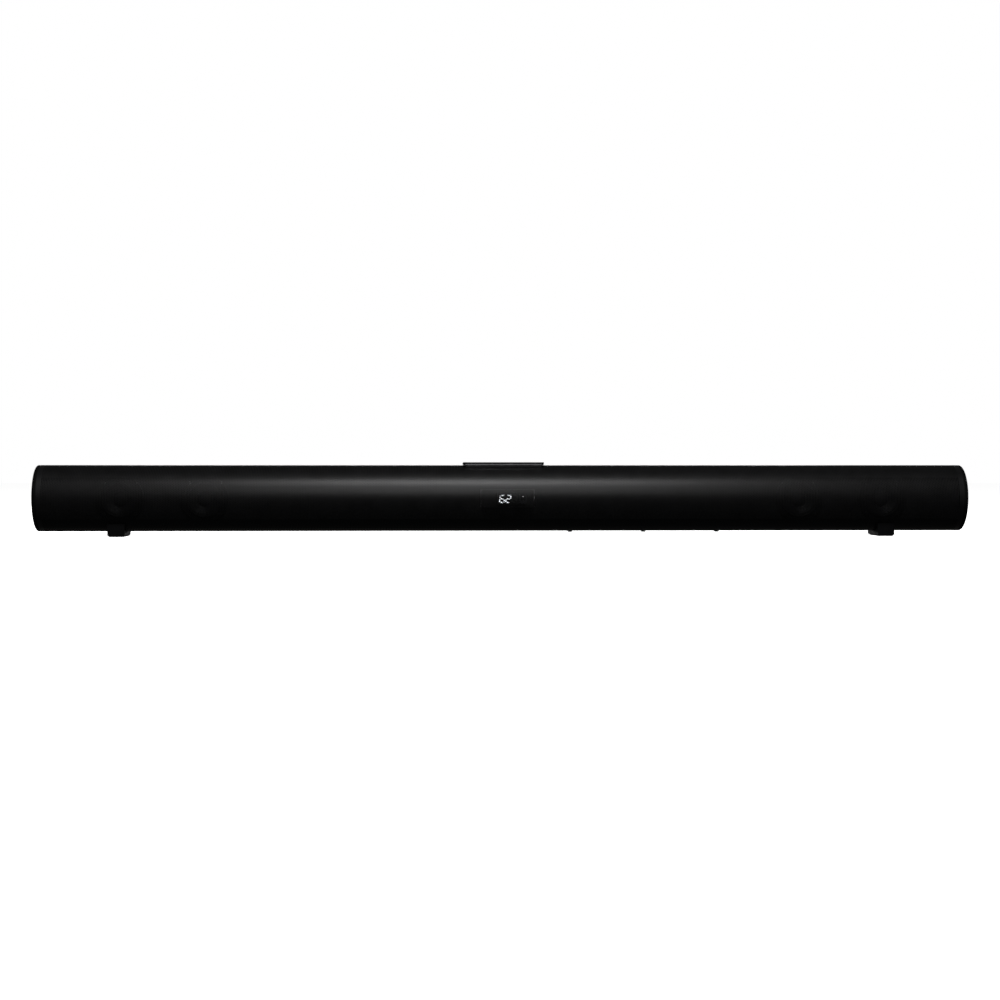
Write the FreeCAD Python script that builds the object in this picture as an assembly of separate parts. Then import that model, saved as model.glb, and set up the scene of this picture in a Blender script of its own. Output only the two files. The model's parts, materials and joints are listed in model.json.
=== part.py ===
import FreeCAD, Part
import math
import os
from FreeCAD import Vector

# A tubular soundbar: a perforated steel wrap round two enclosure shells, a front baffle with four
# small drivers, a flat rear panel with a connector recess, a control plate on top and two feet.
# Millimetres. +X runs along the bar to the right of someone facing it, the front looks along -Y, +Z up.
# Pieces are drawn with the tube's axis on the X axis, and place() lifts them onto the feet.

# Driving dimensions
LENGTH = 940.0
TUBE_R = 33.5
REAR_FLAT = 27.0
FOOT_DROP = 5.1
GAP = 0.1
SEAT_GAP = 0.05

# The axis stands so that the feet rest at z = 0 and the depth is centred on y = 0
AXIS_Y = (TUBE_R - REAR_FLAT) / 2
AXIS_Z = TUBE_R + FOOT_DROP

# Steel wrap
SHEET = 0.8
WRAP_R = TUBE_R - SHEET
WRAP_REAR = REAR_FLAT - 0.4

# End caps
CAP_FLANGE = 3.0
CAP_SEAL = 1.3
CAP_RIM_FILLET = 2.2
BODY_HALF = LENGTH / 2 - CAP_FLANGE - CAP_SEAL

# Enclosure shells and baffle
SHELL_R = WRAP_R - GAP
SHELL_WALL = 2.4
SHELL_IN = SHELL_R - SHELL_WALL
BAFFLE_FRONT = -16.0
BAFFLE_T = 2.5
BAFFLE_BACK = BAFFLE_FRONT + BAFFLE_T
BAFFLE_HALF = 25.2
PANEL_T = 2.4
PANEL_IN = REAR_FLAT - PANEL_T
PANEL_HALF = 18.2
LIP_T = 2.6

# Drivers
DRIVER_X = (-385.0, -300.5, 300.5, 385.0)
FLANGE_R = 24.0
CONE_R = 17.0
COIL_R = 7.0
CHAMBER_WALL_X = (-433.0, -342.8, -252.0, 252.0, 342.8, 433.0)

# Control plate and buttons
PLATE_W = 82.0
PLATE_D = 26.0
PLATE_T = 2.0
PLATE_TOP = 36.4
PLATE_UNDER = PLATE_TOP - PLATE_T
PLATE_CORNER = 3.0
TRIM_T = 0.8
TRIM_INSET = 0.15
BASE_INSET = 1.6
BUTTON_W = 13.0
BUTTON_D = 8.5
BUTTON_PITCH = 17.0
BUTTON_NAMES = ("power_button", "source_button", "volume_down_button", "volume_up_button")

# Display
DIGIT_X = (-2.2, 4.1, 10.4)
DIGIT_H = 8.1
DIGIT_Z = -0.4
DISPLAY_FRONT = -30.8
RECEIVER_X = 18.9

# Rear connectors, as centre positions along the bar
TRAY_HALF = 88.0
TRAY_HEIGHT = 25.0
TRAY_FLOOR = 10.6
INLET_X = -68.0
AUX_X = -30.0
OPTICAL_X = -4.0
USB_X = 26.0
HDMI_X = 58.0
PIN_R = 1.18
PIN_HALF_PITCH = 4.3
AUX_R = 1.8

# Fixings
KEYHOLE_X = 200.0
KEYHOLE_R = 4.5
REAR_SCREW_X = (120.0, 290.0, 445.0)
REAR_SCREW_Z = 15.7
FOOT_X = 388.5
FOOT_W = 16.6
FOOT_FRONT = -22.0
FOOT_REAR = 24.0
FOOT_SCREW_Y = 11.0
FOOT_CHAMFER = 2.2
FOOT_HEEL = 12.0
FOOT_HEEL_RISE = 1.6
PAD_T = 1.1
SPREADER_SCREW_X = (68.2, 143.2, 218.4)


def place(shape):
    """Lifts a piece from the tube's axis to where it stands."""
    moved = shape.copy()
    moved.translate(Vector(0, AXIS_Y, AXIS_Z))
    return moved


def save(name, shape):
    place(shape).exportStep(os.path.join("parts", name + ".step"))


def box(x0, x1, y0, y1, z0, z1):
    return Part.makeBox(x1 - x0, y1 - y0, z1 - z0, Vector(x0, y0, z0))


def bar(x0, x1, radius):
    """A round bar on the tube's axis."""
    return Part.makeCylinder(radius, x1 - x0, Vector(x0, 0, 0), Vector(1, 0, 0))


def rod(x, z, y0, y1, radius):
    """A round rod that runs front to back."""
    return Part.makeCylinder(radius, y1 - y0, Vector(x, y0, z), Vector(0, 1, 0))


def post(x, y, z0, z1, radius):
    return Part.makeCylinder(radius, z1 - z0, Vector(x, y, z0), Vector(0, 0, 1))


def spun(points, x, z=0.0):
    """Turns a closed outline of (radius, y) points about a front-to-back axis at x, z."""
    wire = Part.makePolygon([Vector(r, y, 0) for r, y in points + points[:1]])
    solid = Part.Face(wire).revolve(Vector(0, 0, 0), Vector(0, 1, 0), 360)
    solid.translate(Vector(x, 0, z))
    return solid


def group(solids):
    return Part.makeCompound(solids)


def mirrored(shape):
    return shape.mirror(Vector(0, 0, 0), Vector(1, 0, 0))


def rounded_box(x0, x1, y0, y1, z0, z1, radius, axis):
    """A box with the four edges along one axis rounded."""
    solid = box(x0, x1, y0, y1, z0, z1)
    along = Vector(*axis)
    edges = [e for e in solid.Edges if abs(e.tangentAt(e.FirstParameter).dot(along)) > 0.99]
    return solid.makeFillet(radius, edges)


# ---------------------------------------------------------------- outside

def underside_holes():
    """Clearance holes through the wrap and shell for the screws that enter from below."""
    tools = [post(x, 0, -36, -20, 1.7) for x in SPREADER_SCREW_X]
    for side in (-1, 1):
        for y in (-FOOT_SCREW_Y, FOOT_SCREW_Y):
            tools.append(post(side * FOOT_X, y, -36, -20, 1.7))
    return tools


def front_grille():
    wrap = bar(-BODY_HALF, BODY_HALF, TUBE_R).cut(bar(-BODY_HALF - 1, BODY_HALF + 1, WRAP_R))
    wrap = wrap.cut(box(-500, 500, WRAP_REAR, 40, -40, 40))
    wrap = wrap.cut(rounded_box(-35, 35, -8, 8, 20, 40, 2.0, (0, 0, 1)))
    return wrap.cut(underside_holes())


def end_cap(seal_end, spigot_end):
    """The right-hand cap: a flat disc with a rounded rim and a spigot that enters the shells."""
    flange = bar(seal_end + CAP_SEAL, LENGTH / 2, TUBE_R).cut(box(400, 500, REAR_FLAT, 40, -40, 40))
    face = max(flange.Faces, key=lambda f: f.CenterOfMass.x)
    flange = flange.makeFillet(CAP_RIM_FILLET, face.Edges)
    spigot = bar(spigot_end, seal_end + CAP_SEAL, SHELL_IN - GAP)
    spigot = spigot.cut(box(400, 500, PANEL_IN - LIP_T - GAP, 40, -40, 40))
    spigot = spigot.cut(box(400, 500, -40, BAFFLE_BACK + 2.9, -40, 40))
    hollow = bar(spigot_end - 1, seal_end, SHELL_IN - 2.5)
    hollow = hollow.common(box(400, 500, BAFFLE_BACK + 5.2, PANEL_IN - LIP_T - 2.5, -40, 40))
    front_land = bar(seal_end, seal_end + CAP_SEAL, SHELL_IN - GAP)
    return flange.fuse(spigot.cut(hollow)).fuse(front_land.cut(box(400, 500, REAR_FLAT - 3, 40, -40, 40)))


def cap_seal(seal_end):
    """The dark ring in the groove between cap and body."""
    ring = bar(seal_end, seal_end + CAP_SEAL, TUBE_R - 0.9)
    ring = ring.cut(box(400, 500, REAR_FLAT - 0.9, 40, -40, 40))
    hole = bar(seal_end - 1, seal_end + 3, SHELL_IN)
    hole = hole.cut(box(400, 500, REAR_FLAT - 2.9, 40, -40, 40))
    return ring.cut(hole)


def countersink(x, z):
    """A screw hole through the rear panel with room for a flush head."""
    head = Part.makeCone(1.6, 2.9, 1.3, Vector(x, REAR_FLAT - 1.3, z), Vector(0, 1, 0))
    return [rod(x, z, 15, REAR_FLAT + 1, 1.6), head]


def rear_screw_places():
    return [(side * x, row * REAR_SCREW_Z)
            for side in (-1, 1) for x in REAR_SCREW_X for row in (-1, 1)]


def keyhole(x, y0, y1):
    """The wall hook's opening: a round entry with a narrower slot above it."""
    slot = box(x - 2.4, x + 2.4, y0, y1, 0, 8.0).fuse(rod(x, 8.0, y0, y1, 2.4))
    return rod(x, 0, y0, y1, KEYHOLE_R).fuse(slot)


def rear_panel():
    panel = box(-BODY_HALF, BODY_HALF, PANEL_IN, REAR_FLAT, -PANEL_HALF, PANEL_HALF)
    aperture = rounded_box(-TRAY_HALF, TRAY_HALF, PANEL_IN - 1, REAR_FLAT + 1,
                           -TRAY_HEIGHT / 2, TRAY_HEIGHT / 2, 3.0, (0, 1, 0))
    panel = panel.cut(aperture)
    for side in (-1, 1):
        panel = panel.cut(keyhole(side * KEYHOLE_X, PANEL_IN - 1, REAR_FLAT + 1))
    for x, z in rear_screw_places():
        panel = panel.cut(countersink(x, z))
    return panel


def rear_screws():
    screws = []
    for x, z in rear_screw_places():
        shank = rod(x, z, 18.5, REAR_FLAT - 1.2, 1.4)
        head = Part.makeCone(1.4, 2.7, 1.2, Vector(x, REAR_FLAT - 1.3, z), Vector(0, 1, 0))
        cross = box(x - 1.5, x + 1.5, REAR_FLAT - 0.7, REAR_FLAT, z - 0.3, z + 0.3)
        cross = cross.fuse(box(x - 0.3, x + 0.3, REAR_FLAT - 0.7, REAR_FLAT, z - 1.5, z + 1.5))
        screws.append(shank.fuse(head).cut(cross))
    return group(screws)


def keyhole_plates():
    """Steel plates behind the panel that carry the wall screws."""
    plates = []
    for side in (-1, 1):
        x = side * KEYHOLE_X
        plate = rounded_box(x - 16, x + 16, PANEL_IN - 1.2, PANEL_IN, -11, 13.5, 2.0, (0, 1, 0))
        plates.append(plate.cut(keyhole(x, PANEL_IN - 2, PANEL_IN + 1)))
    return group(plates)


def foot():
    """The right-hand foot: a block that cradles the tube, with a pocket for its pad."""
    x0 = FOOT_X - FOOT_W / 2
    x1 = FOOT_X + FOOT_W / 2
    base = -AXIS_Z
    outline = [(x0 + 1.0, base), (x1 - FOOT_CHAMFER, base), (x1, base + FOOT_CHAMFER), (x1, -20),
               (x0 - 1.2, -20), (x0, base + 1.0)]
    wire = Part.makePolygon([Vector(x, FOOT_FRONT, z) for x, z in outline + outline[:1]])
    block = Part.Face(wire).extrude(Vector(0, FOOT_REAR - FOOT_FRONT, 0))
    slope = [(FOOT_REAR - FOOT_HEEL, base), (FOOT_REAR, base), (FOOT_REAR, base + FOOT_HEEL_RISE)]
    wire = Part.makePolygon([Vector(x0 - 2, y, z) for y, z in slope + slope[:1]])
    block = block.cut(Part.Face(wire).extrude(Vector(FOOT_W + 4, 0, 0)))
    block = block.cut(bar(300, 450, TUBE_R + SEAT_GAP))
    block = block.cut(box(x0 + 2.5, x1 - 4.5, FOOT_FRONT + 4, FOOT_REAR - 13, base - 1, base + PAD_T + GAP))
    for y in (-FOOT_SCREW_Y, FOOT_SCREW_Y):
        block = block.cut([post(FOOT_X, y, base - 1, -20, 1.7), post(FOOT_X, y, base - 1, base + 3.2, 3.0)])
    return block


def foot_pad():
    x0 = FOOT_X - FOOT_W / 2
    x1 = FOOT_X + FOOT_W / 2
    return rounded_box(x0 + 2.6, x1 - 4.6, FOOT_FRONT + 4.1, FOOT_REAR - 13.1,
                       -AXIS_Z, PAD_T - AXIS_Z, 1.0, (0, 0, 1))


def foot_screw(y):
    base = -AXIS_Z
    return post(FOOT_X, y, base + 1.3, base + 3.1, 2.8).fuse(post(FOOT_X, y, base + 3.1, -24.5, 1.4))


# ---------------------------------------------------------------- control plate

def button_x():
    return [(i - 1.5) * BUTTON_PITCH for i in range(4)]


def plate_outline(inset, z0, z1):
    """A block with the plate's outline, drawn in all round."""
    half_w = PLATE_W / 2 - inset
    half_d = PLATE_D / 2 - inset
    return rounded_box(-half_w, half_w, -half_d, half_d, z0, z1, PLATE_CORNER - inset, (0, 0, 1))


def control_panel():
    """The plate and its base, which sits on the wrap and is hollow under the buttons."""
    plate = plate_outline(0, PLATE_UNDER, PLATE_TOP)
    rim = [e for e in plate.Edges if all(abs(v.Z - PLATE_TOP) < 1e-6 for v in e.Vertexes)]
    plate = plate.makeFillet(0.35, rim)
    base = plate_outline(BASE_INSET, TUBE_R - 5.5, PLATE_UNDER).cut(bar(-50, 50, TUBE_R + SEAT_GAP))
    base = base.cut(rounded_box(-34.6, 34.6, -7, 7, 20, 40, 2.0, (0, 0, 1)))
    plate = plate.fuse(base)
    for x in button_x():
        half_w = BUTTON_W / 2 + 0.25
        half_d = BUTTON_D / 2 + 0.25
        plate = plate.cut(rounded_box(x - half_w, x + half_w, -half_d, half_d,
                                      PLATE_UNDER - 0.5, PLATE_TOP + 1, 1.4, (0, 0, 1)))
    return plate


def control_panel_trim():
    """The bright band round the base, under the plate's edge."""
    band = plate_outline(TRIM_INSET, PLATE_UNDER - TRIM_T, PLATE_UNDER)
    return band.cut(plate_outline(BASE_INSET, 20, 40)).cut(bar(-50, 50, TUBE_R + SEAT_GAP))


def button(x):
    """A cap flush with the plate, a flange that keeps it in and a stem down to its switch."""
    half_w = BUTTON_W / 2
    half_d = BUTTON_D / 2
    under = PLATE_UNDER
    cap = rounded_box(x - half_w, x + half_w, -half_d, half_d, under - 0.3, PLATE_TOP, 1.2, (0, 0, 1))
    rim = [e for e in cap.Edges if all(abs(v.Z - PLATE_TOP) < 1e-6 for v in e.Vertexes)]
    cap = cap.makeFillet(0.25, rim)
    flange = rounded_box(x - half_w - 0.8, x + half_w + 0.8, -half_d - 0.9, half_d + 0.9,
                         under - 0.9, under - 0.25, 1.2, (0, 0, 1))
    return cap.fuse(flange).fuse(post(x, 0, 28.2, under - 0.5, 1.5))


def control_board():
    board = box(-37, 37, -8, 8, 21.0, 22.6)
    legs = [post(side * 34.0, 5.0, 22.6, 26.0, 2.0) for side in (-1, 1)]
    return board.fuse(legs)


def tact_switches():
    switches = []
    for x in button_x():
        switches.append(box(x - 3, x + 3, -3, 3, 22.65, 26.1).fuse(post(x, 0, 26.1, 27.3, 1.6)))
    return group(switches)


# ---------------------------------------------------------------- enclosure

def shell_arc():
    ring = bar(-BODY_HALF, BODY_HALF, SHELL_R).cut(bar(-BODY_HALF - 1, BODY_HALF + 1, SHELL_IN))
    return ring.common(box(-500, 500, BAFFLE_FRONT, PANEL_IN - GAP, 10, 40))


def upper_shell():
    """The top half shell with lips for the rear panel and the baffle."""
    inside = bar(-BODY_HALF, BODY_HALF, SHELL_IN + 0.2)
    rear_lip = inside.common(box(-500, 500, PANEL_IN - LIP_T, PANEL_IN - GAP, 14.0, 40))
    front_lip = inside.common(box(-500, 500, BAFFLE_BACK + GAP, BAFFLE_BACK + LIP_T, 20.5, 40))
    shell = shell_arc().fuse([rear_lip, front_lip])
    shell = shell.cut(box(-TRAY_HALF - 4, TRAY_HALF + 4, PANEL_IN - 4, 40, 5, TRAY_HEIGHT / 2 + 3))
    for x, z in rear_screw_places():
        shell = shell.cut(rod(x, z, 15, 30, 1.45))
    for x, z in front_screw_places():
        shell = shell.cut(rod(x, z, BAFFLE_BACK - 1, BAFFLE_BACK + 5, 1.15))
    for x in button_x():
        shell = shell.cut(post(x, 0, 25, 40, 2.1))
    for side in (-1, 1):
        shell = shell.fuse(post(side * 34.0, 5.0, 26.1, 30.4, 2.0))
    return shell


def lower_shell():
    """The bottom half shell: as the top one, with bosses under the heat spreader."""
    shell = shell_arc().mirror(Vector(0, 0, 0), Vector(0, 0, 1))
    inside = bar(-BODY_HALF, BODY_HALF, SHELL_IN + 0.2)
    rear_lip = inside.common(box(-500, 500, PANEL_IN - LIP_T, PANEL_IN - GAP, -40, -14.0))
    front_lip = inside.common(box(-500, 500, BAFFLE_BACK + GAP, BAFFLE_BACK + LIP_T, -40, -20.5))
    bosses = [post(x, 0, -31.0, -27.5, 4.0) for x in SPREADER_SCREW_X]
    shell = shell.fuse([rear_lip, front_lip] + bosses)
    shell = shell.cut(box(-TRAY_HALF - 4, TRAY_HALF + 4, PANEL_IN - 4, 40, -TRAY_HEIGHT / 2 - 3, -5))
    for x, z in rear_screw_places():
        shell = shell.cut(rod(x, z, 15, 30, 1.45))
    for x, z in front_screw_places():
        shell = shell.cut(rod(x, z, BAFFLE_BACK - 1, BAFFLE_BACK + 5, 1.15))
    return shell.cut(underside_holes())


def front_screw_places():
    """Along the baffle's top and bottom edges, between the drivers."""
    return [(side * x, row * 23.0) for side in (-1, 1) for x in (60.0, 180.0, 262.0, 342.8, 430.0)
            for row in (-1, 1)]


def driver_screw_places():
    places = []
    for x in DRIVER_X:
        for quarter in range(4):
            angle = math.radians(45 + 90 * quarter)
            places.append((x + 22.2 * math.cos(angle), 22.2 * math.sin(angle)))
    return places


def front_baffle():
    plate = box(-BODY_HALF + 1, BODY_HALF - 1, BAFFLE_FRONT, BAFFLE_BACK, -BAFFLE_HALF, BAFFLE_HALF)
    for x in DRIVER_X:
        plate = plate.cut(rod(x, 0, -20, -10, 20.6))
    plate = plate.cut(rounded_box(-24, 32, -20, -10, -9, 9, 2.0, (0, 1, 0)))
    for x, z in driver_screw_places() + front_screw_places():
        plate = plate.cut(rod(x, z, -20, -10, 1.15))
    return plate


def front_screws():
    """Pan-head screws that hold the drivers and the baffle."""
    screws = []
    for x, z in driver_screw_places():
        screws.append(rod(x, z, -19.2, -18.0, 1.8).fuse(rod(x, z, -18.0, BAFFLE_BACK, 1.1)))
    for x, z in front_screw_places():
        screws.append(rod(x, z, -17.2, -16.0, 1.8).fuse(rod(x, z, -16.0, BAFFLE_BACK + 2, 1.1)))
    return group(screws)


def chamber_bulkheads():
    """Walls between the driver chambers and the electronics bay."""
    walls = []
    for x in CHAMBER_WALL_X:
        wall = bar(x - 1.25, x + 1.25, SHELL_IN - GAP)
        wall = wall.common(box(-500, 500, BAFFLE_BACK + LIP_T + GAP, PANEL_IN - LIP_T - GAP, -40, 40))
        walls.append(wall.cut(Part.makeCylinder(3.0, 10, Vector(x - 5, 8, -20), Vector(1, 0, 0))))
    return group(walls)


# ---------------------------------------------------------------- drivers

def driver_basket(x):
    """A pressed frame: flange, four legs and a rear ring."""
    flange = spun([(20.3, -18.0), (FLANGE_R, -18.0), (FLANGE_R, -16.0), (20.3, -16.0)], x)
    funnel = spun([(19.4, -16.2), (20.4, -16.2), (20.4, -15.0), (15.6, -2.0), (15.6, -1.0),
                   (9.0, -1.0), (9.0, -2.0), (14.6, -2.0), (19.4, -15.0)], x)
    frame = flange.fuse(funnel).fuse(spun([(19.4, -16.6), (20.5, -16.6), (20.5, -16.0), (19.4, -16.0)], x))
    for quarter in range(4):
        window = box(-5.5, 5.5, -13.5, -3.2, 10, 26)
        window.rotate(Vector(0, 0, 0), Vector(0, 1, 0), 90 * quarter + 45)
        window.translate(Vector(x, 0, 0))
        frame = frame.cut(window)
    for sx, sz in driver_screw_places():
        if abs(sx - x) < 30:
            frame = frame.cut(rod(sx, sz, -20, -10, 1.15))
    return frame


def driver_magnet(x):
    """Top plate, ferrite ring and yoke, with the gap that the coil moves in."""
    top_plate = spun([(7.7, -0.95), (14.0, -0.95), (14.0, 1.6), (7.7, 1.6)], x)
    ferrite = spun([(8.6, 1.6), (15.5, 1.6), (15.5, 8.6), (8.6, 8.6)], x)
    yoke = spun([(0, -0.95), (6.0, -0.95), (6.0, 8.6), (14.0, 8.6), (14.0, 10.6), (0, 10.6)], x)
    return top_plate.fuse(ferrite).fuse(yoke)


def half_roll(x, r0, r1, y_base, height, thickness):
    """A rubber half roll between two radii, bulging to the front, with flat glued edges."""
    middle = (r0 + r1) / 2
    outer = [(r0 - 1.2, y_base), (r0, y_base)]
    inner = [(r0 - 1.2, y_base - thickness), (r0 + thickness * 0.2, y_base - thickness)]
    steps = 8
    half = (r1 - r0) / 2
    roof = []
    floor = []
    for i in range(1, steps):
        a = math.pi * i / steps
        floor.append((middle - half * math.cos(a), y_base - height * math.sin(a)))
        roof.append((middle - (half + thickness) * math.cos(a),
                     y_base - thickness - height * math.sin(a)))
    points = outer + floor + [(r1, y_base), (r1 + 0.8, y_base), (r1 + 0.8, y_base - thickness),
                              (r1 - thickness * 0.2, y_base - thickness)]
    return spun(points + roof[::-1] + inner[::-1], x)


def driver_surround(x):
    return half_roll(x, CONE_R + 0.3, 19.4, -16.7, 1.4, 0.35)


def driver_cone(x):
    """Paper cone, dust cap, coil former and winding in one moving piece."""
    cone = spun([(16.0, -16.6), (16.9, -16.6), (COIL_R + 0.35, -9.2), (COIL_R - 0.4, -9.2),
                 (COIL_R - 0.4, -9.8), (15.9, -16.1)], x)
    former = spun([(COIL_R - 0.35, -11.5), (COIL_R, -11.5), (COIL_R, 1.5), (COIL_R - 0.35, 1.5)], x)
    winding = spun([(COIL_R - 0.1, -2.4), (COIL_R + 0.35, -2.4), (COIL_R + 0.35, 1.5),
                    (COIL_R - 0.1, 1.5)], x)
    dome = []
    for i in range(7):
        a = math.radians(90 - 90 * i / 6)
        dome.append((8.2 * math.cos(a), -10.6 - 3.6 * math.sin(a)))
    under = [(max(r - 0.5, 0.0), y + 0.5) for r, y in dome]
    dome_points = dome + [(8.2, -10.1)] + [(7.7, -10.1)] + under[-2::-1]
    return cone.fuse(former).fuse(winding).fuse(spun(dome_points, x))


def driver_spider(x):
    """The corrugated ring that centres the coil."""
    crest = []
    trough = []
    r = COIL_R + 0.5
    count = 0
    while r <= 13.9:
        wave = 0.35 if count % 2 else -0.35
        crest.append((r, -6.0 + wave))
        trough.append((r, -5.6 + wave))
        r += 0.8
        count += 1
    return spun(crest + trough[::-1], x)


# ---------------------------------------------------------------- display

def segments(x, lit):
    """The seven slanted bars of one digit; lit names the ones to draw."""
    w = 4.3
    h = DIGIT_H
    bar_t = 0.95
    lean = math.tan(math.radians(10))
    half = h / 2
    spots = {
        "a": (0, half - bar_t / 2, True), "g": (0, 0, True), "d": (0, bar_t / 2 - half, True),
        "f": (-w / 2, half / 2, False), "b": (w / 2, half / 2, False),
        "e": (-w / 2, -half / 2, False), "c": (w / 2, -half / 2, False),
    }
    solids = []
    for name in lit:
        cx, cz, flat = spots[name]
        if flat:
            reach = w / 2 - bar_t * 0.6
            pts = [(-reach, 0), (-reach + bar_t / 2, bar_t / 2), (reach - bar_t / 2, bar_t / 2),
                   (reach, 0), (reach - bar_t / 2, -bar_t / 2), (-reach + bar_t / 2, -bar_t / 2)]
        else:
            reach = half / 2 - bar_t * 0.35
            pts = [(0, -reach), (bar_t / 2, -reach + bar_t / 2), (bar_t / 2, reach - bar_t / 2),
                   (0, reach), (-bar_t / 2, reach - bar_t / 2), (-bar_t / 2, -reach + bar_t / 2)]
        corners = []
        for px, pz in pts:
            z = cz + pz
            corners.append(Vector(x + cx + px + lean * z, DISPLAY_FRONT - 0.25, DIGIT_Z + z))
        face = Part.Face(Part.makePolygon(corners + corners[:1]))
        solids.append(face.extrude(Vector(0, 0.25, 0)))
    return solids


LIT = ("acdefg", "abdeg", "")


def display_digits():
    return group([s for x, lit in zip(DIGIT_X, LIT) for s in segments(x, lit)])


def display_digits_unlit():
    rest = ["".join(c for c in "abcdefg" if c not in lit) for lit in LIT]
    return group([s for x, names in zip(DIGIT_X, rest) for s in segments(x, names)])


def display_module():
    middle = sum(DIGIT_X) / len(DIGIT_X)
    body = box(middle - 10.6, middle + 10.6, DISPLAY_FRONT, -23.0, -6.0, 5.4)
    board = box(-22, 30, -23.0, -21.4, -8.5, 8.5)
    feet = [rod(-19, 0, -21.4, -12.5, 1.9), rod(28, 0, -21.4, -12.5, 1.9)]
    return body.fuse(board).fuse(feet)


def ir_receiver():
    """A shielded receiver can with a round lens and a folded tab."""
    x = RECEIVER_X
    can = box(x - 3.6, x + 3.6, -28.6, -23.1, -5.0, 4.6)
    lens = Part.makeSphere(2.4, Vector(x, -28.6, 1.0)).common(box(x - 3, x + 3, -32, -28.0, -4, 5))
    tab = box(x - 2.4, x + 2.4, -29.6, -28.6, 4.0, 4.6)
    return can.fuse(lens).fuse(tab)


# ---------------------------------------------------------------- electronics

def board_set(chips, board_z):
    """Separate components standing on a board: each is (x, y, width, depth, height, round?)."""
    solids = []
    for x, y, w, d, h, is_round in chips:
        if is_round:
            solids.append(post(x, y, board_z + 0.02, board_z + h, w / 2))
        else:
            solids.append(box(x - w / 2, x + w / 2, y - d / 2, y + d / 2, board_z + 0.02, board_z + h))
    return group(solids)


def main_board():
    board = box(52, 238, -8, 17, -22.0, -20.4)
    board = board.fuse([post(x, 0, -25.4, -22.0, 2.5) for x in SPREADER_SCREW_X])
    return board.cut([post(x, 0, -26, -22.6, 1.3) for x in SPREADER_SCREW_X])


def main_board_components():
    chips = [(80, 3, 14, 14, 2.0, False), (110, 3, 10, 10, 1.6, False), (165, 3, 14, 14, 3.0, False),
             (190, 3, 14, 14, 3.0, False)]
    chips += [(x, -4, 5, 5, 7, True) for x in (95, 125, 135, 205)]
    chips += [(x, 12, 7, 7, 6, False) for x in (150, 162, 174, 186)]
    return board_set(chips, -20.4)


def heat_spreader():
    """An aluminium plate that cools the amplifier through the case screws."""
    plate = box(56, 232, -10.5, 10.5, -27.4, -25.4)
    return plate.cut([post(x, 0, -30, -20, 1.3) for x in SPREADER_SCREW_X])


def heat_spreader_screws():
    screws = []
    for x in SPREADER_SCREW_X:
        head = post(x, 0, -34.6, -33.5, 2.4)
        shoulder = post(x, 0, -33.6, -32.0, 1.5)
        rim = [e for e in head.Edges if e.BoundBox.ZMax < -34.5]
        cross = box(x - 1.3, x + 1.3, -0.3, 0.3, -35, -34.1)
        cross = cross.fuse(box(x - 0.3, x + 0.3, -1.3, 1.3, -35, -34.1))
        shank = post(x, 0, -32.0, -23.0, 1.2)
        screws.append(head.makeFillet(0.5, rim).fuse([shoulder, shank]).cut(cross))
    return group(screws)


def power_board():
    board = box(-238, -100, -10, 19, -22.0, -20.4)
    return board.fuse([post(x, 4, -27.0, -22.0, 2.5) for x in (-228.0, -110.0)])


def power_board_components():
    chips = [(-200, 4, 26, 22, 24, False), (-172, 4, 18, 18, 22, True), (-150, 4, 12, 12, 20, True),
             (-134, 4, 12, 12, 20, True), (-226, 8, 8, 10, 12, False), (-118, 4, 10, 16, 9, False)]
    return board_set(chips, -20.4)


# ---------------------------------------------------------------- rear connectors

def hdmi_outline(grow):
    half = 7.0 + grow
    top = 2.3 + grow
    points = [(-half, top), (half, top), (half, -0.4), (half - 1.9, -2.3 - grow), (1.9 - half, -2.3 - grow),
              (-half, -0.4)]
    wire = Part.makePolygon([Vector(HDMI_X + x, 0, z) for x, z in points + points[:1]])
    return Part.Face(wire)


def hdmi_plug_space(grow, y0, y1):
    face = hdmi_outline(grow)
    face.translate(Vector(0, y0, 0))
    return face.extrude(Vector(0, y1 - y0, 0))


def hdmi_socket():
    shell = hdmi_plug_space(0.5, -1.0, TRAY_FLOOR + 0.6).cut(hdmi_plug_space(0, 0.5, 20))
    tongue = box(HDMI_X - 5.8, HDMI_X + 5.8, 0.0, TRAY_FLOOR - 1.6, -0.2, 0.8)
    return shell.fuse(tongue)


def usb_socket():
    shell = box(USB_X - 6.8, USB_X + 6.8, -3.0, TRAY_FLOOR + 0.6, -3.1, 3.1)
    shell = shell.cut(box(USB_X - 6.3, USB_X + 6.3, -2.0, 20, -2.6, 2.6))
    return shell.fuse(box(USB_X - 5.6, USB_X + 5.6, -2.5, TRAY_FLOOR - 1.8, 0.4, 2.2))


def optical_socket():
    """A square optical receptacle whose mouth is closed by a hinged shutter."""
    body = box(OPTICAL_X - 6.6, OPTICAL_X + 6.6, -4.0, TRAY_FLOOR - 0.3, -6.4, 6.4)
    body = body.cut(box(OPTICAL_X - 4.7, OPTICAL_X + 4.7, -1.5, 20, -4.6, 5.0))
    lens = rod(OPTICAL_X, 0, -2.0, 0.4, 1.5)
    pin = Part.makeCylinder(0.45, 9.9, Vector(OPTICAL_X - 4.95, TRAY_FLOOR - 1.5, 4.3), Vector(1, 0, 0))
    return body.fuse([lens, pin])


def optical_shutter():
    """The flap: it turns about its top pin and folds inwards."""
    y = TRAY_FLOOR - 1.5
    flap = box(OPTICAL_X - 4.4, OPTICAL_X + 4.4, y - 0.4, y + 0.4, -4.2, 4.3)
    knuckle = Part.makeCylinder(0.65, 8.8, Vector(OPTICAL_X - 4.4, y, 4.3), Vector(1, 0, 0))
    bore = Part.makeCylinder(0.5, 10, Vector(OPTICAL_X - 5, y, 4.3), Vector(1, 0, 0))
    return flap.fuse(knuckle).cut(bore)


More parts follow.
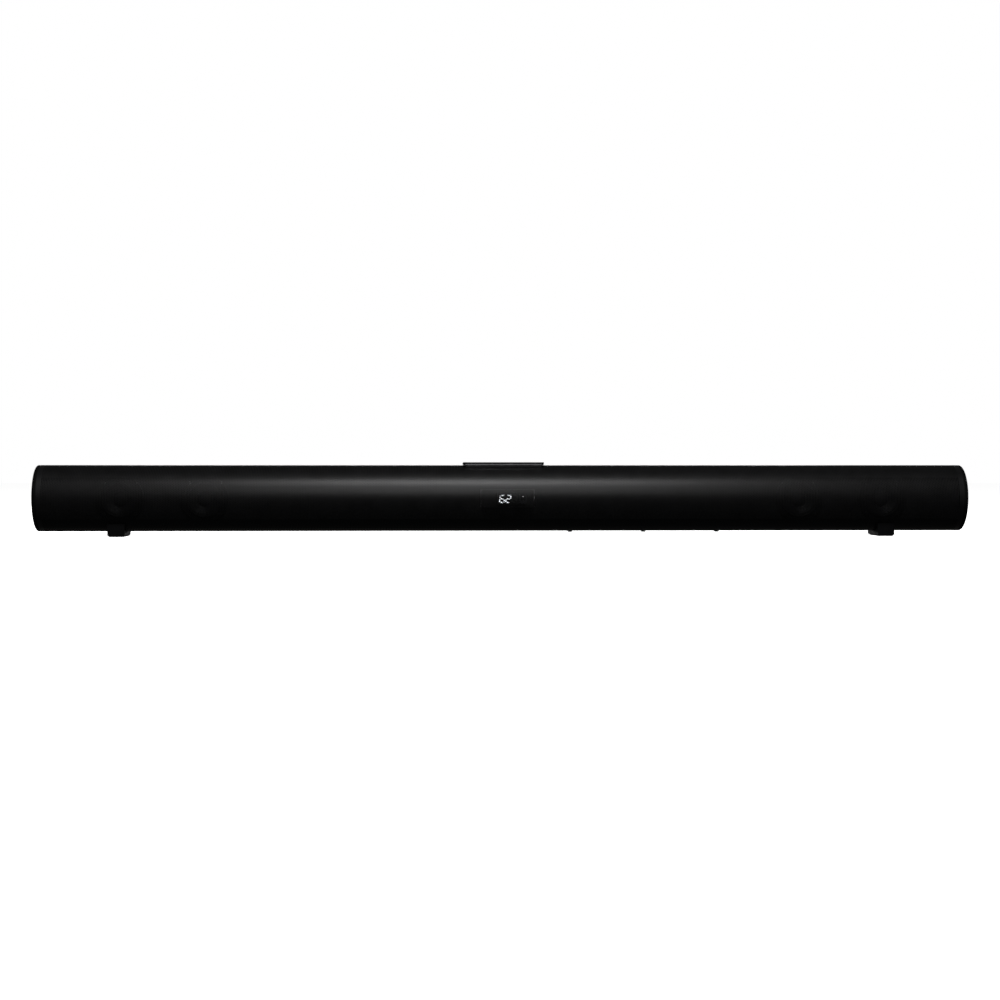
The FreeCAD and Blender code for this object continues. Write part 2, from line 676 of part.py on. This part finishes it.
def aux_jack():
    body = box(AUX_X - 4.5, AUX_X + 4.5, -4.0, TRAY_FLOOR - 2.0, -4.0, 4.0)
    collar = rod(AUX_X, 0, TRAY_FLOOR - 2.1, TRAY_FLOOR + 0.8, 3.6)
    return body.fuse(collar).cut(rod(AUX_X, 0, -3.0, 20, AUX_R))


def figure_eight(radius, y0, y1):
    half = 3.9
    ends = [rod(INLET_X + s * half, 0, y0, y1, radius) for s in (-1, 1)]
    waist = box(INLET_X - half, INLET_X + half, y0, y1, 0.6 - radius, radius - 0.6)
    return ends[0].fuse([ends[1], waist])


def mains_inlet():
    """A figure-of-eight inlet with its raised frame; its cord isn't part of the model."""
    body = rounded_box(INLET_X - 10.4, INLET_X + 10.4, -2.0, TRAY_FLOOR + 0.8, -6.2, 6.2, 1.5, (0, 1, 0))
    cavity = figure_eight(4.0, 0.6, 20)
    holes = [rod(INLET_X + s * PIN_HALF_PITCH, 0, -5, 5, PIN_R) for s in (-1, 1)]
    return body.cut([cavity] + holes)


def mains_inlet_pins():
    return group([rod(INLET_X + s * PIN_HALF_PITCH, 0, -5.0, TRAY_FLOOR - 1.4, PIN_R) for s in (-1, 1)])


def connector_tray():
    """The recess in the rear panel that the sockets face out of."""
    half = TRAY_HALF - GAP
    tall = TRAY_HEIGHT / 2 - GAP
    outer = rounded_box(-half, half, TRAY_FLOOR - 1.6, REAR_FLAT - 0.3, -tall, tall, 2.9, (0, 1, 0))
    cavity = rounded_box(-half + 1.6, half - 1.6, TRAY_FLOOR, REAR_FLAT + 1, 1.6 - tall, tall - 1.6,
                         1.6, (0, 1, 0))
    flange = rounded_box(-half - 2.5, half + 2.5, PANEL_IN - 1.3, PANEL_IN - GAP, -tall - 2.5, tall + 2.5,
                         3.0, (0, 1, 0))
    tray = outer.fuse(flange).cut(cavity)
    tray = tray.cut(hdmi_plug_space(0.6, -5, 20))
    tray = tray.cut(box(USB_X - 6.9, USB_X + 6.9, -5, 20, -3.2, 3.2))
    tray = tray.cut(box(OPTICAL_X - 6.7, OPTICAL_X + 6.7, -5, 20, -6.5, 6.5))
    tray = tray.cut(rod(AUX_X, 0, -5, 20, 3.7))
    return tray.cut(rounded_box(INLET_X - 10.5, INLET_X + 10.5, -5, 20, -6.3, 6.3, 1.5, (0, 1, 0)))


# ---------------------------------------------------------------- writing the pieces

def main():
    os.makedirs("parts", exist_ok=True)
    save("front_grille", front_grille())
    cap = end_cap(BODY_HALF, BODY_HALF - 9.0)
    seal = cap_seal(BODY_HALF)
    right_foot = foot()
    for side, turn in (("right", lambda s: s), ("left", mirrored)):
        save(side + "_end_cap", turn(cap))
        save(side + "_cap_seal", turn(seal))
        save(side + "_foot", turn(right_foot))
    save("foot_pads", group([foot_pad(), mirrored(foot_pad())]))
    screws = [foot_screw(y) for y in (-FOOT_SCREW_Y, FOOT_SCREW_Y)]
    save("foot_screws", group(screws + [mirrored(s) for s in screws]))
    for i, x in enumerate(DRIVER_X, start=1):
        save("driver_%d_basket" % i, driver_basket(x))
        save("driver_%d_magnet" % i, driver_magnet(x))
        save("driver_%d_surround" % i, driver_surround(x))
        save("driver_%d_cone" % i, driver_cone(x))
    save("driver_spiders", group([driver_spider(x) for x in DRIVER_X]))
    for name, x in zip(BUTTON_NAMES, button_x()):
        save(name, button(x))
    pieces = (rear_panel, rear_screws, control_panel, control_panel_trim, control_board, tact_switches,
              upper_shell, lower_shell, front_baffle, front_screws, chamber_bulkheads,
              display_digits, display_digits_unlit, display_module, ir_receiver,
              main_board, main_board_components, heat_spreader, heat_spreader_screws,
              power_board, power_board_components, connector_tray, hdmi_socket, usb_socket,
              optical_socket, optical_shutter, aux_jack, mains_inlet, mains_inlet_pins)
    for piece in pieces:
        save(piece.__name__, piece())
    save("wall_keyhole_plates", keyhole_plates())


main()
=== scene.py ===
import json
import math

import bpy
import numpy as np
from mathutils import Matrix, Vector


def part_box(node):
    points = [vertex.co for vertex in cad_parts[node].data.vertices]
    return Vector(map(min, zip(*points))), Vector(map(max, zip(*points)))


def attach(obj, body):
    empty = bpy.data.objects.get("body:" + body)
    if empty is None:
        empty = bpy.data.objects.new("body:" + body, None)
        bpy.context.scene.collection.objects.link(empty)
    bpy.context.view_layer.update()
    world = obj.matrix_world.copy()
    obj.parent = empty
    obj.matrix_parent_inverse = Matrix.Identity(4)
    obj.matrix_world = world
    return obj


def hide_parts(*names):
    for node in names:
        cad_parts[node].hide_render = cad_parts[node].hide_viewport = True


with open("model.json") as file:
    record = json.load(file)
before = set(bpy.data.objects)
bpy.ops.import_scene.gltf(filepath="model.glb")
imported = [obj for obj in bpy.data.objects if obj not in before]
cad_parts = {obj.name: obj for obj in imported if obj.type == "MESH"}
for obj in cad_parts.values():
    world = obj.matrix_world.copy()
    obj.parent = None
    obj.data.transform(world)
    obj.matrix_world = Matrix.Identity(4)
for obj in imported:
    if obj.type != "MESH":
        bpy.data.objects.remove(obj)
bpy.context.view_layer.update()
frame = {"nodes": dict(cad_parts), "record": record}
nodes = frame["nodes"]

# Every length is in metres. The bar lies along X, its front looks along -Y, and Z is up.
CHASSIS = "chassis"


# ---------------------------------------------------------------- where things are

wrap_low, wrap_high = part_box("front_grille")
TUBE_R = (wrap_high.z - wrap_low.z) / 2
AXIS_Y = wrap_low.y + TUBE_R
AXIS_Z = wrap_low.z + TUBE_R
WRAP_END = wrap_high.x
WRAP_REAR = wrap_high.y - AXIS_Y
SHEET_T = 0.0008


# ---------------------------------------------------------------- materials

def new_material(name, color, roughness, metallic=0.0, specular=0.5):
    """A Principled material with its plain values set on the shader's own sockets."""
    mat = bpy.data.materials.new(name)
    mat.use_nodes = True
    shader = mat.node_tree.nodes["Principled BSDF"]
    shader.inputs["Base Color"].default_value = (*color, 1.0)
    shader.inputs["Roughness"].default_value = roughness
    shader.inputs["Metallic"].default_value = metallic
    shader.inputs["Specular IOR Level"].default_value = specular
    return mat


def object_space(tree):
    """Object coordinates, which stay with a moving piece."""
    return tree.nodes.new("ShaderNodeTexCoord").outputs["Object"]


def noise(tree, scale, detail=3.0, stretch=(1.0, 1.0, 1.0)):
    """A cloudy 0 to 1 value, drawn out along an axis where the stretch is small."""
    mapping = tree.nodes.new("ShaderNodeMapping")
    mapping.inputs["Scale"].default_value = stretch
    tree.links.new(object_space(tree), mapping.inputs["Vector"])
    tex = tree.nodes.new("ShaderNodeTexNoise")
    tex.inputs["Scale"].default_value = scale
    tex.inputs["Detail"].default_value = detail
    tree.links.new(mapping.outputs["Vector"], tex.inputs["Vector"])
    return tex.outputs["Fac"]


def ramp(tree, source, low, high, low_at=0.3, high_at=0.7):
    """Maps a value between two colours."""
    node = tree.nodes.new("ShaderNodeValToRGB")
    node.color_ramp.elements[0].position = low_at
    node.color_ramp.elements[0].color = (*low, 1.0)
    node.color_ramp.elements[1].position = high_at
    node.color_ramp.elements[1].color = (*high, 1.0)
    tree.links.new(source, node.inputs["Fac"])
    return node.outputs["Color"]


def spread(tree, source, low, high):
    """Maps a 0 to 1 value to a range."""
    node = tree.nodes.new("ShaderNodeMapRange")
    node.inputs["To Min"].default_value = low
    node.inputs["To Max"].default_value = high
    tree.links.new(source, node.inputs["Value"])
    return node.outputs["Result"]


def add_bump(mat, source, strength, distance):
    """Fine relief, with its depth in metres."""
    tree = mat.node_tree
    bump = tree.nodes.new("ShaderNodeBump")
    bump.inputs["Strength"].default_value = strength
    bump.inputs["Distance"].default_value = distance
    tree.links.new(source, bump.inputs["Height"])
    tree.links.new(bump.outputs["Normal"], tree.nodes["Principled BSDF"].inputs["Normal"])


def grained(name, color, roughness, vary=0.25, grain=2500.0, depth=0.00002, strength=0.3, **finish):
    """Moulded or coated stuff: mottled colour, uneven gloss and a fine grain."""
    mat = new_material(name, color, roughness, **finish)
    tree = mat.node_tree
    shader = tree.nodes["Principled BSDF"]
    cloud = noise(tree, 60.0)
    dark = tuple(c * (1 - vary) for c in color)
    light = tuple(min(c * (1 + vary), 1.0) for c in color)
    tree.links.new(ramp(tree, cloud, dark, light), shader.inputs["Base Color"])
    tree.links.new(spread(tree, cloud, roughness * 0.9, roughness * 1.1), shader.inputs["Roughness"])
    add_bump(mat, noise(tree, grain, 2.0), strength, depth)
    return mat


def brushed(name, color, roughness, stretch, metallic=1.0, vary=0.2):
    """Metal with fine lines along one direction."""
    mat = new_material(name, color, roughness, metallic=metallic)
    tree = mat.node_tree
    shader = tree.nodes["Principled BSDF"]
    lines = noise(tree, 900.0, 2.0, stretch)
    dark = tuple(c * (1 - vary) for c in color)
    light = tuple(min(c * (1 + vary), 1.0) for c in color)
    tree.links.new(ramp(tree, lines, dark, light), shader.inputs["Base Color"])
    tree.links.new(spread(tree, lines, roughness * 0.8, roughness * 1.25), shader.inputs["Roughness"])
    add_bump(mat, lines, 0.15, 0.00002)
    return mat


def circuit_board(name):
    """Green solder mask with darker tracks and tinned pads."""
    mat = new_material(name, (0.01, 0.09, 0.03), 0.35)
    tree = mat.node_tree
    shader = tree.nodes["Principled BSDF"]
    tracks = tree.nodes.new("ShaderNodeTexBrick")
    tracks.inputs["Scale"].default_value = 90.0
    tracks.inputs["Color1"].default_value = (0.008, 0.085, 0.028, 1.0)
    tracks.inputs["Color2"].default_value = (0.012, 0.105, 0.035, 1.0)
    tracks.inputs["Mortar"].default_value = (0.02, 0.15, 0.06, 1.0)
    tracks.inputs["Mortar Size"].default_value = 0.03
    tree.links.new(object_space(tree), tracks.inputs["Vector"])
    tree.links.new(tracks.outputs["Color"], shader.inputs["Base Color"])
    add_bump(mat, tracks.outputs["Fac"], 0.2, 0.00005)
    return mat


def glowing(name, color, strength):
    """A lit display bar, its glow a little uneven."""
    mat = new_material(name, (0.8, 0.8, 0.8), 0.4)
    tree = mat.node_tree
    shader = tree.nodes["Principled BSDF"]
    cloud = noise(tree, 900.0)
    low = tuple(c * 0.85 for c in color)
    tree.links.new(ramp(tree, cloud, low, color), shader.inputs["Emission Color"])
    shader.inputs["Emission Strength"].default_value = strength
    return mat


def paper_cone(name):
    """Black pressed pulp with visible fibres."""
    mat = new_material(name, (0.001, 0.001, 0.0011), 0.5, specular=0.02)
    tree = mat.node_tree
    shader = tree.nodes["Principled BSDF"]
    fibres = noise(tree, 1400.0, 4.0)
    tree.links.new(ramp(tree, fibres, (0.0008, 0.0008, 0.0009), (0.0015, 0.0015, 0.0016)),
                   shader.inputs["Base Color"])
    tree.links.new(spread(tree, fibres, 0.45, 0.6), shader.inputs["Roughness"])
    add_bump(mat, fibres, 0.4, 0.00008)
    return mat


def woven(name, color):
    """Cloth with a small plain weave."""
    mat = new_material(name, color, 0.85)
    tree = mat.node_tree
    shader = tree.nodes["Principled BSDF"]
    weave = tree.nodes.new("ShaderNodeTexChecker")
    weave.inputs["Scale"].default_value = 1600.0
    tree.links.new(object_space(tree), weave.inputs["Vector"])
    dark = tuple(c * 0.6 for c in color)
    tree.links.new(ramp(tree, weave.outputs["Fac"], dark, color), shader.inputs["Base Color"])
    add_bump(mat, weave.outputs["Fac"], 0.3, 0.0001)
    return mat


materials = {
    "grille_steel": grained("grille_coat", (0.0012, 0.0012, 0.0013), 0.36, specular=0.08, depth=0.00001,
                            strength=0.25, grain=3500.0),
    "cap_plastic": grained("cap_gloss", (0.0010, 0.0010, 0.0011), 0.28, specular=0.035, depth=0.000004,
                           strength=0.1),
    "seal_rubber": grained("seal_rubber", (0.0008, 0.0008, 0.0008), 0.8, specular=0.03),
    "rear_plastic": grained("rear_moulding", (0.014, 0.014, 0.015), 0.5, specular=0.35, grain=1800.0,
                            depth=0.00004, strength=0.5),
    "shell_plastic": grained("shell_moulding", (0.0008, 0.0008, 0.0008), 0.7, specular=0.03),
    "foot_plastic": grained("foot_moulding", (0.0005, 0.0005, 0.0006), 0.45, specular=0.03, grain=1800.0,
                            depth=0.00003, strength=0.4),
    "pad_rubber": grained("pad_rubber", (0.02, 0.02, 0.021), 0.85, specular=0.3),
    "plate_plastic": grained("plate_satin", (0.0012, 0.0012, 0.0013), 0.4, specular=0.10, depth=0.00001,
                             strength=0.2),
    "trim_metal": brushed("trim_satin", (0.10, 0.10, 0.105), 0.35, (0.05, 1.0, 1.0)),
    "button_plastic": grained("button_satin", (0.004, 0.004, 0.0042), 0.34, specular=0.3,
                              depth=0.00001, strength=0.2),
    "screw_steel": brushed("screw_black_zinc", (0.004, 0.004, 0.0042), 0.5, (1.0, 1.0, 1.0)),
    "keyhole_steel": brushed("keyhole_zinc", (0.5, 0.5, 0.52), 0.4, (0.1, 1.0, 1.0)),
    "circuit_board": circuit_board("solder_mask"),
    "component_plastic": grained("component_moulding", (0.03, 0.03, 0.032), 0.5),
    "spreader_aluminium": brushed("spreader_rolled", (0.7, 0.7, 0.72), 0.4, (0.05, 1.0, 1.0)),
    "basket_steel": grained("basket_paint", (0.0008, 0.0008, 0.0008), 0.6, specular=0.01),
    "magnet_ferrite": grained("ferrite", (0.05, 0.05, 0.052), 0.6, vary=0.35, grain=900.0),
    "surround_rubber": grained("surround_rubber", (0.0008, 0.0008, 0.0008), 0.55, specular=0.02),
    "cone_paper": paper_cone("cone_pulp"),
    "spider_cloth": woven("spider_weave", (0.45, 0.3, 0.12)),
    "display_plastic": grained("display_filter", (0.0008, 0.0008, 0.0008), 0.5, specular=0.04),
    "digit_lit": glowing("digit_glow", (0.86, 0.93, 1.0), 1.3),
    "digit_unlit": grained("digit_milky", (0.008, 0.008, 0.008), 0.5, vary=0.1, specular=0.1),
    "receiver_plastic": grained("receiver_tint", (0.004, 0.004, 0.005), 0.2, specular=0.5),
    "socket_steel": brushed("socket_nickel", (0.6, 0.6, 0.61), 0.25, (1.0, 0.1, 1.0)),
    "socket_plastic": grained("socket_moulding", (0.012, 0.012, 0.013), 0.45, specular=0.4),
    "shutter_plastic": grained("shutter_moulding", (0.03, 0.03, 0.032), 0.4),
    "pin_brass": brushed("pin_nickel", (0.75, 0.7, 0.6), 0.22, (1.0, 0.1, 1.0)),
}


def dress(obj, slot_name):
    """Gives an object one material, the one made for the given finish."""
    obj.data.materials.clear()
    obj.data.materials.append(materials[slot_name])


for part in frame["record"]["subparts"]:
    dress(nodes[part["node"]], part["material_slot"])


# ---------------------------------------------------------------- mesh helpers

def mesh_object(name, verts, faces, slot_name):
    """A mesh piece that rides on the chassis."""
    mesh = bpy.data.meshes.new(name)
    mesh.from_pydata([tuple(v) for v in verts], [], [tuple(f) for f in faces])
    mesh.validate()
    mesh.update()
    mesh.polygons.foreach_set("use_smooth", [True] * len(mesh.polygons))
    obj = bpy.data.objects.new(name, mesh)
    bpy.context.scene.collection.objects.link(obj)
    obj.data.materials.append(materials[slot_name])
    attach(obj, CHASSIS)
    return obj


# ---------------------------------------------------------------- perforated wrap

# The steel wrap is drawn flat, as distance along the bar and arc from the front line, then rolled up.
# Its holes stand in columns round the tube, each column half a pitch off the next.
HOLE_PITCH = 0.00182
HOLE_R = 0.00063
HOLE_SIDES = 12
HOLES_EACH_WAY = 35
COLUMNS_EACH_WAY = 292
COLUMN_STEP = HOLE_PITCH * math.sqrt(3) / 2
CORNER_R = HOLE_PITCH / math.sqrt(3)
FIELD_X = COLUMNS_EACH_WAY * COLUMN_STEP + CORNER_R
FIELD_ARC = (HOLES_EACH_WAY + 0.5) * HOLE_PITCH
EDGE_ARC = TUBE_R * (math.pi - math.acos(WRAP_REAR / TUBE_R))
BORDER_STEPS = 8
CUTOUT_HALF_X = 0.0372
CUTOUT_HALF_Y = 0.0098
# A cut edge starts this far in, so that its points stay apart from the sheet's and keep its corner crisp.
RIM_STEP = 0.00001
# The backing's front edge, ahead of the axis, and its depth below the wrap's face.
BACKING_FRONT = 0.0262
BACKING_GAP = 0.00015


def rolled(x, arc, radius=TUBE_R):
    """Flat points on the sheet, taken round the tube."""
    angle = arc / TUBE_R
    return np.stack([x, AXIS_Y - radius * np.cos(angle), AXIS_Z + radius * np.sin(angle)], -1)


def sheet_piece(name, flat_x, flat_arc, faces, radius=None):
    """A piece of the wrap from flat points; points that coincide are joined, and its faces are shaded smooth.
    """
    radius = np.full(flat_x.shape, TUBE_R) if radius is None else radius
    keys = np.round(np.stack([flat_x, flat_arc, radius], -1) * 1e6).astype(np.int64)
    _, first, index = np.unique(keys, axis=0, return_index=True, return_inverse=True)
    index = index.ravel()
    points = rolled(flat_x[first], flat_arc[first], radius[first])
    faces = [index[np.asarray(f)] for f in faces]
    mesh = bpy.data.meshes.new(name)
    loops = np.concatenate([f.ravel() for f in faces])
    sizes = np.concatenate([np.full(len(f), f.shape[1]) for f in faces])
    starts = np.concatenate([[0], np.cumsum(sizes)[:-1]])
    mesh.vertices.add(len(points))
    mesh.vertices.foreach_set("co", points.ravel())
    mesh.loops.add(len(loops))
    mesh.loops.foreach_set("vertex_index", loops.astype(np.int32))
    mesh.polygons.add(len(sizes))
    mesh.polygons.foreach_set("loop_start", starts.astype(np.int32))
    mesh.update(calc_edges=True)
    mesh.polygons.foreach_set("use_smooth", np.ones(len(sizes), bool))
    mesh.validate()
    obj = bpy.data.objects.new(name, mesh)
    bpy.context.scene.collection.objects.link(obj)
    dress(obj, "grille_steel")
    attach(obj, CHASSIS)
    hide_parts("front_grille")
    return obj


def hole_centres(column_from, column_to):
    """Hole centres over a range of columns, leaving out the opening under the control plate."""
    columns = np.arange(column_from, column_to + 1)
    places = np.arange(-HOLES_EACH_WAY, HOLES_EACH_WAY + 1)
    column, place = (a.ravel() for a in np.meshgrid(columns, places, indexing="ij"))
    x = column * COLUMN_STEP
    arc = (place + 0.5 * (column % 2)) * HOLE_PITCH
    height = np.sin(arc / TUBE_R)
    depth = TUBE_R * np.cos(arc / TUBE_R)
    covered = (np.abs(x) < CUTOUT_HALF_X) & (np.abs(depth) < CUTOUT_HALF_Y) & (height > 0)
    keep = ~covered & (np.abs(arc) <= HOLES_EACH_WAY * HOLE_PITCH + 1e-9)
    return x[keep], arc[keep]


def cell_corners(x, arc):
    """The six corners of each hole's cell; the field's outer cells end straight."""
    corner_angle = np.radians(60 * np.arange(6))
    corner_x = x[:, None] + CORNER_R * np.cos(corner_angle)
    corner_arc = arc[:, None] + CORNER_R * np.sin(corner_angle)
    side = np.abs(corner_x) > FIELD_X - 0.6 * CORNER_R
    corner_x = np.where(side, np.sign(corner_x) * FIELD_X, corner_x)
    rim = np.abs(corner_arc) > (HOLES_EACH_WAY - 0.1) * HOLE_PITCH
    return corner_x, np.where(rim, np.sign(corner_arc) * FIELD_ARC, corner_arc)


def cell_faces(cells):
    """Six triangles and six quads between each hole and its cell's corners."""
    base = (np.arange(cells) * (6 + HOLE_SIDES))[:, None]
    wedges = []
    quads = []
    for k in range(6):
        before_hole = 6 + 2 * k
        past_hole = before_hole + 1
        next_hole = 6 + (2 * k + 2) % HOLE_SIDES
        wedges.append(base + np.array([[k, past_hole, before_hole]]))
        quads.append(base + np.array([[k, (k + 1) % 6, next_hole, past_hole]]))
    return [np.concatenate(wedges), np.concatenate(quads)]


def perforated_strip(name, column_from, column_to):
    """One length of the wrap, each of its holes in a six-sided cell."""
    x, arc = hole_centres(column_from, column_to)
    corner_x, corner_arc = cell_corners(x, arc)
    hole_angle = np.radians(30 * np.arange(HOLE_SIDES) - 15)
    hole_x = x[:, None] + HOLE_R * np.cos(hole_angle)
    hole_arc = arc[:, None] + HOLE_R * np.sin(hole_angle)
    flat_x = np.concatenate([corner_x, hole_x], 1)
    flat_arc = np.concatenate([corner_arc, hole_arc], 1)
    return sheet_piece(name, flat_x.ravel(), flat_arc.ravel(), cell_faces(len(x)))


def grid_faces(rows, columns, start):
    """Quads of a grid of points stored row by row."""
    row, column = (a.ravel() for a in np.meshgrid(np.arange(rows - 1), np.arange(columns - 1), indexing="ij"))
    first = start + row * columns + column
    return np.stack([first, first + columns, first + columns + 1, first + 1], -1)


def stations_along():
    """Where the margins need points to meet the holed field's straight outer edge."""
    even = np.arange(-COLUMNS_EACH_WAY, COLUMNS_EACH_WAY + 1, 2) * COLUMN_STEP
    inner = np.concatenate([even - CORNER_R, even - CORNER_R / 2, even + CORNER_R / 2, even + CORNER_R])
    inner = np.unique(np.round(inner[np.abs(inner) < FIELD_X - 0.6 * CORNER_R], 9))
    return np.concatenate([[-WRAP_END, -FIELD_X], inner, [FIELD_X, WRAP_END]])


def wrap_border():
    """The sheet's plain margins: both rear edges, both ends, and its turned-in cut edges."""
    along = stations_along()
    beside = np.arange(-2 * HOLES_EACH_WAY - 1, 2 * HOLES_EACH_WAY + 2) * HOLE_PITCH / 2
    margin = np.linspace(FIELD_ARC, EDGE_ARC, BORDER_STEPS + 1)
    around = np.concatenate([-margin[::-1], beside[1:-1], margin])
    rim = TUBE_R - RIM_STEP
    under = TUBE_R - SHEET_T
    patches = [
        np.meshgrid(along, margin, [TUBE_R], indexing="ij"),
        np.meshgrid(along, -margin[::-1], [TUBE_R], indexing="ij"),
        np.meshgrid([-WRAP_END, -FIELD_X], beside, [TUBE_R], indexing="ij"),
        np.meshgrid([FIELD_X, WRAP_END], beside, [TUBE_R], indexing="ij"),
        np.meshgrid(along, [EDGE_ARC], [rim, under], indexing="ij"),
        np.meshgrid(along, [-EDGE_ARC], [under, rim], indexing="ij"),
        np.meshgrid([-WRAP_END], around, [under, rim], indexing="ij"),
        np.meshgrid([WRAP_END], around, [rim, under], indexing="ij"),
    ]
    faces = []
    start = 0
    for patch in patches:
        rows, columns = [n for n in patch[0].shape if n > 1]
        faces.append(grid_faces(rows, columns, start))
        start += rows * columns
    flat = [np.concatenate([patch[k].ravel() for patch in patches]) for k in range(3)]
    return sheet_piece("wrap_margins", flat[0], flat[1], [np.concatenate(faces)], flat[2])


def perforated_wrap():
    """The holed field in four lengths, and its margins."""
    names = ("wrap_far_left", "wrap_left", "wrap_right", "wrap_far_right")
    quarter = (2 * COLUMNS_EACH_WAY + 1) // len(names)
    first = -COLUMNS_EACH_WAY
    for i, name in enumerate(names):
        last = COLUMNS_EACH_WAY if i == len(names) - 1 else first + quarter - 1
        perforated_strip(name, first, last)
        first = last + 1
    wrap_border()


perforated_wrap()


def wrap_backing():
    """Black damping sheet just under the wrap, above and below, open under the control plate."""
    along = np.concatenate([[-FIELD_X], np.linspace(-CUTOUT_HALF_X, CUTOUT_HALF_X, 2), [FIELD_X]])
    open_from = math.acos(CUTOUT_HALF_Y / TUBE_R) * TUBE_R
    open_to = math.pi * TUBE_R - open_from
    front_edge = math.acos(BACKING_FRONT / TUBE_R) * TUBE_R
    upper = np.concatenate([np.linspace(front_edge, open_from, 7), np.linspace(open_from, open_to, 15)[1:],
                            np.linspace(open_to, FIELD_ARC, 3)[1:]])
    for name, arcs in (("backing_top", upper), ("backing_bottom", -upper[::-1])):
        x, arc = np.meshgrid(along, arcs, indexing="ij")
        faces = grid_faces(len(along), len(arcs), 0)
        middle = np.abs(x.ravel()[faces]).max(1) < CUTOUT_HALF_X + 0.0001
        centre_arc = arc.ravel()[faces].mean(1)
        opening = middle & (centre_arc > open_from) & (centre_arc < open_to)
        points = rolled(x.ravel(), arc.ravel(), TUBE_R - BACKING_GAP)
        mesh_object(name, points, faces[~opening], "shell_plastic")


wrap_backing()


# ---------------------------------------------------------------- floor, light and camera

FLOOR_R = 9.0
FLOOR_GLOW = 0.9
CAMERA_YAW = math.radians(2.4)
CAMERA_ELEVATION = math.radians(0.8)
CAMERA_DISTANCE = 1.980
CAMERA_LENS = 70.0
AIM_RIGHT = -0.0031
AIM_UP = -0.0020
centre = Vector((0.0, AXIS_Y, AXIS_Z))


def direction(azimuth, elevation):
    """A unit vector towards something that far to the left of the front and that high."""
    return Vector((-math.sin(azimuth) * math.cos(elevation), -math.cos(azimuth) * math.cos(elevation),
                   math.sin(elevation)))


def pointed_at(obj, target):
    """Turns a lamp or camera to face a point."""
    obj.rotation_euler = (Vector(target) - obj.location).to_track_quat("-Z", "Y").to_euler()


def pale_floor():
    """A plain round floor of white acrylic, lit from below, that the black body doesn't mirror."""
    steps = 96
    verts = [(0.0, 0.0, 0.0)]
    verts += [(FLOOR_R * math.cos(2 * math.pi * i / steps), FLOOR_R * math.sin(2 * math.pi * i / steps), 0.0)
              for i in range(steps)]
    faces = [(0, 1 + i, 1 + (i + 1) % steps) for i in range(steps)]
    mesh = bpy.data.meshes.new("floor")
    mesh.from_pydata(verts, [], faces)
    floor = bpy.data.objects.new("floor", mesh)
    bpy.context.scene.collection.objects.link(floor)
    mat = new_material("floor_acrylic", (0.86, 0.86, 0.86), 0.9, specular=0.1)
    tree = mat.node_tree
    shader = tree.nodes["Principled BSDF"]
    tree.links.new(ramp(tree, noise(tree, 3.0), (0.85, 0.85, 0.85), (0.88, 0.88, 0.88)),
                   shader.inputs["Base Color"])
    shader.inputs["Emission Color"].default_value = (1.0, 1.0, 1.0, 1.0)
    shader.inputs["Emission Strength"].default_value = FLOOR_GLOW
    mesh.materials.append(mat)
    floor.visible_glossy = False
    floor.visible_diffuse = False


def softbox(name, azimuth, elevation, distance, width, height, power):
    """A soft light that the camera doesn't see, aimed at the tube's middle; angles in degrees."""
    light = bpy.data.lights.new(name, "AREA")
    light.shape = "RECTANGLE"
    light.size = width
    light.size_y = height
    light.energy = power
    obj = bpy.data.objects.new(name, light)
    bpy.context.scene.collection.objects.link(obj)
    obj.location = centre + direction(math.radians(azimuth), math.radians(elevation)) * distance
    pointed_at(obj, centre)
    obj.visible_camera = False


def white_surroundings(seen, lit):
    """White where the camera looks past the floor, dim as a light."""
    world = bpy.data.worlds.new("surroundings")
    world.use_nodes = True
    tree = world.node_tree
    tree.nodes.clear()
    path = tree.nodes.new("ShaderNodeLightPath")
    dim = tree.nodes.new("ShaderNodeBackground")
    dim.inputs["Strength"].default_value = lit
    dim.inputs["Color"].default_value = (1.0, 1.0, 1.0, 1.0)
    bright = tree.nodes.new("ShaderNodeBackground")
    bright.inputs["Strength"].default_value = seen
    bright.inputs["Color"].default_value = (1.0, 1.0, 1.0, 1.0)
    mix = tree.nodes.new("ShaderNodeMixShader")
    out = tree.nodes.new("ShaderNodeOutputWorld")
    tree.links.new(path.outputs["Is Camera Ray"], mix.inputs["Fac"])
    tree.links.new(dim.outputs["Background"], mix.inputs[1])
    tree.links.new(bright.outputs["Background"], mix.inputs[2])
    tree.links.new(mix.outputs["Shader"], out.inputs["Surface"])
    bpy.context.scene.world = world


def camera():
    """The camera, a little to the left of straight on and a little above."""
    data = bpy.data.cameras.new("camera")
    data.lens = CAMERA_LENS
    data.sensor_width = 36.0
    data.clip_end = 50.0
    obj = bpy.data.objects.new("camera", data)
    bpy.context.scene.collection.objects.link(obj)
    obj.location = centre + direction(CAMERA_YAW, CAMERA_ELEVATION) * CAMERA_DISTANCE
    right = Vector((math.cos(CAMERA_YAW), -math.sin(CAMERA_YAW), 0.0))
    pointed_at(obj, centre + right * AIM_RIGHT + Vector((0.0, 0.0, AIM_UP)))
    bpy.context.scene.camera = obj


pale_floor()
softbox("key_strip", 0, 57, 1.5, 0.52, 0.36, 52.0)
softbox("front_panel", 0, 31, 1.6, 0.6, 0.86, 29.0)
softbox("rear_fill", 180, 9, 1.8, 1.4, 0.4, 12.0)
white_surroundings(1.0, 0.08)
camera()
bpy.context.scene.view_settings.view_transform = "Standard"
